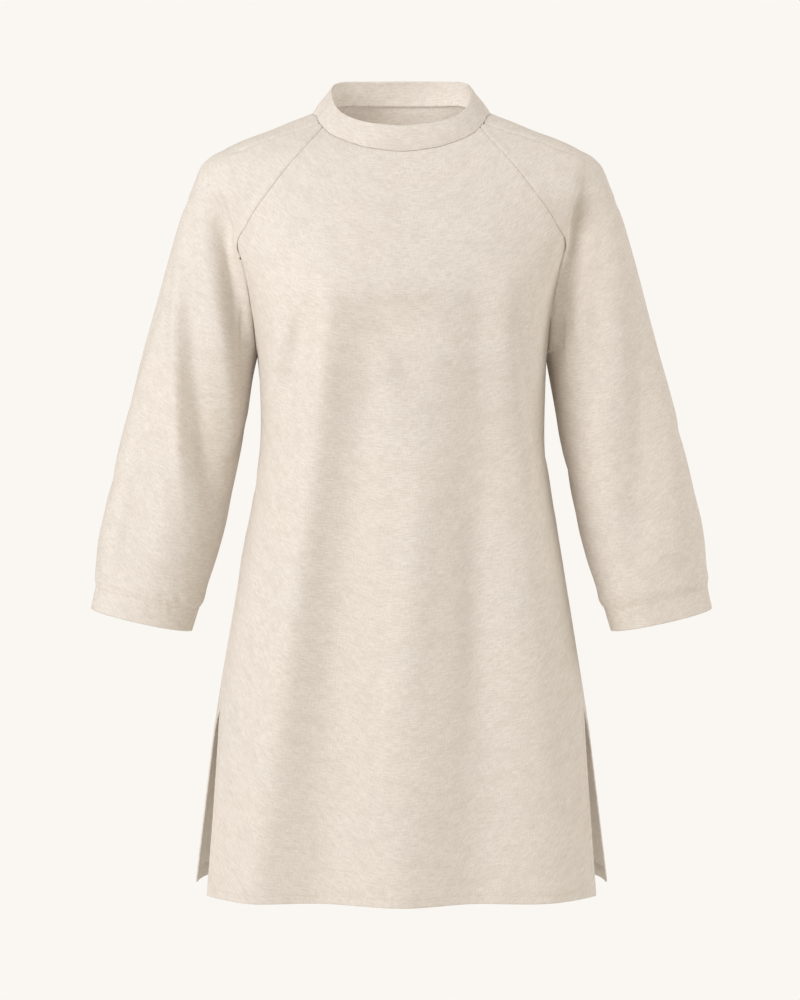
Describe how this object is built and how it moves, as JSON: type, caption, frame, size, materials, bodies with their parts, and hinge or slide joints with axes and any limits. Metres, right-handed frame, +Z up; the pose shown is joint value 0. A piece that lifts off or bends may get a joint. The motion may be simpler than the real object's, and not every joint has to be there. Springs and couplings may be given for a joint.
{
  "type": "tunic",
  "caption": "Hollow A-line tunic with a stand collar, three-quarter raglan sleeves, side slits and turned, topstitched hems, shaped as it is worn.",
  "frame": {"origin": "centre of the neck, level with the points where the neck seam meets the shoulders", "axes": "+Z up the wearer's body, -Y to the wearer's front, +X to the wearer's left"},
  "size_m": [0.6648, 0.2781, 0.8672],
  "materials": {
    "linen": "matt plain-woven natural melange linen"
  },
  "bodies": {
    "root": {"front": "linen", "back": "linen", "sleeve_left": "linen", "sleeve_right": "linen", "collar_outer": "linen", "collar_inner": "linen"}
  },
  "joints": []
}
